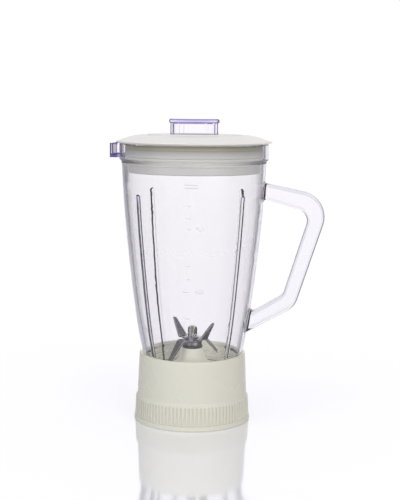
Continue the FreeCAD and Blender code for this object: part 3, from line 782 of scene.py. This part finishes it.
class Surroundings:
    """World shader built up from soft patches of light, each placed by direction."""

    def __init__(self, colour):
        world = bpy.data.worlds.new("studio")
        world.use_nodes = True
        self.tree = world.node_tree
        coords = self.tree.nodes.new("ShaderNodeTexCoord")
        self.axes = self.tree.nodes.new("ShaderNodeSeparateXYZ")
        self.tree.links.new(coords.outputs["Generated"], self.axes.inputs[0])
        plain = self.tree.nodes.new("ShaderNodeRGB")
        plain.outputs[0].default_value = colour
        self.colour = plain.outputs[0]
        bpy.context.scene.world = world

    def maths(self, operation, *sources):
        made = self.tree.nodes.new("ShaderNodeMath")
        made.operation = operation
        for socket, source in zip(made.inputs, sources):
            if isinstance(source, float):
                socket.default_value = source
            else:
                self.tree.links.new(source, socket)
        return made.outputs[0]

    def towards_back(self):
        """Cosine of the azimuth, 1 straight behind the object and -1 behind the camera."""
        across = self.maths("MULTIPLY", self.axes.outputs["X"], self.axes.outputs["X"])
        along = self.maths("MULTIPLY", self.axes.outputs["Y"], self.axes.outputs["Y"])
        length = self.maths("SQRT", self.maths("ADD", across, along))
        return self.maths("DIVIDE", self.axes.outputs["Y"], self.maths("MAXIMUM", length, 1e-4))

    def patch(self, measure, start, full, colour):
        """Lays a colour over what is there, where the measure runs from start to full."""
        soft = self.tree.nodes.new("ShaderNodeMapRange")
        soft.interpolation_type = "SMOOTHSTEP"
        soft.inputs["From Min"].default_value = start
        soft.inputs["From Max"].default_value = full
        self.tree.links.new(measure, soft.inputs["Value"])
        mix = self.tree.nodes.new("ShaderNodeMix")
        mix.data_type = "RGBA"
        self.tree.links.new(soft.outputs["Result"], mix.inputs["Factor"])
        self.tree.links.new(self.colour, mix.inputs["A"])
        mix.inputs["B"].default_value = colour
        self.colour = mix.outputs["Result"]

    def close(self):
        self.tree.links.new(self.colour, self.tree.nodes["Background"].inputs["Color"])


def studio_world():
    """White sweep behind, dim sides that draw the edges of the clear plastic, light above and in front."""
    room = Surroundings(SIDE_GREY)
    back = room.towards_back()
    room.patch(back, *FRONT_FADE, FRONT_GREY)
    room.patch(back, *SWEEP_FADE, SWEEP_WHITE)
    room.patch(room.axes.outputs["Z"], *TOP_FADE, TOP_WHITE)
    room.close()


def softbox(name, place, aim, width, height, power, colour=(1, 1, 1)):
    data = bpy.data.lights.new(name, "AREA")
    data.shape = "RECTANGLE"
    data.size = width
    data.size_y = height
    data.energy = power
    data.color = colour
    light = bpy.data.objects.new(name, data)
    light.location = place
    light.rotation_euler = (Vector(aim) - Vector(place)).to_track_quat("-Z", "Y").to_euler()
    light.visible_glossy = False
    light.visible_transmission = False
    bpy.context.scene.collection.objects.link(light)
    return light


def studio_lights():
    """Large soft lights for everything, and strips that light the steel only."""
    for name, place, width, height, power, colour in SOFT_LIGHTS:
        softbox(name, place, SOFT_LIGHT_AIM, width, height, power, colour)
    steel = bpy.data.collections.new("steel_pieces")
    for name in STEEL_NODES:
        steel.objects.link(NODES[name])
    for name, place, width in STRIP_LIGHTS:
        strip = softbox(name, place, STRIP_AIM, width, STRIP_HEIGHT, STRIP_POWER)
        strip.visible_glossy = True
        strip.data.cycles.use_multiple_importance_sampling = False
        strip.light_linking.receiver_collection = steel


def floor():
    """Glossy white acrylic sheet under the object."""
    mesh = bpy.data.meshes.new("floor")
    corners = [(x * FLOOR_REACH, y * FLOOR_REACH, 0) for x, y in ((-1, -1), (1, -1), (1, 1), (-1, 1))]
    mesh.from_pydata(corners, [], [(0, 1, 2, 3)])
    sheet = bpy.data.objects.new("floor", mesh)
    bpy.context.scene.collection.objects.link(sheet)
    look = Look("white_acrylic", IOR=1.5, Metallic=0.5, Emission_Strength=0.07)
    look.shader.inputs["Base Color"].default_value = FLOOR_COLOUR
    look.shader.inputs["Emission Color"].default_value = FLOOR_GLOW
    look.feed("Roughness", look.spread(look.noise(3, 2), *FLOOR_ROUGHNESS))
    mesh.materials.append(look.material)


def camera():
    data = bpy.data.cameras.new("camera")
    data.lens = CAMERA_LENS
    data.sensor_width = 36.0
    data.clip_end = 1000.0
    view = bpy.data.objects.new("camera", data)
    place = Vector((math.sin(CAMERA_AZIMUTH), -math.cos(CAMERA_AZIMUTH), 0)) * CAMERA_DISTANCE
    place.z = CAMERA_HEIGHT
    turn = (Matrix.Rotation(CAMERA_AZIMUTH - CAMERA_AIM_OFF, 4, "Z")
            @ Matrix.Rotation(math.pi / 2 - CAMERA_PITCH, 4, "X")
            @ Matrix.Rotation(CAMERA_ROLL, 4, "Z"))
    view.matrix_world = Matrix.Translation(place) @ turn
    bpy.context.scene.collection.objects.link(view)
    bpy.context.scene.camera = view


def light_paths():
    """Enough bounces for several clear walls in a row."""
    cycles = bpy.context.scene.cycles
    cycles.max_bounces = 24
    cycles.transmission_bounces = 24
    cycles.glossy_bounces = 8
    cycles.transparent_max_bounces = 16
    bpy.context.scene.view_settings.view_transform = "Standard"


dress_frame()
graduations()
studio_world()
studio_lights()
floor()
camera()
light_paths()
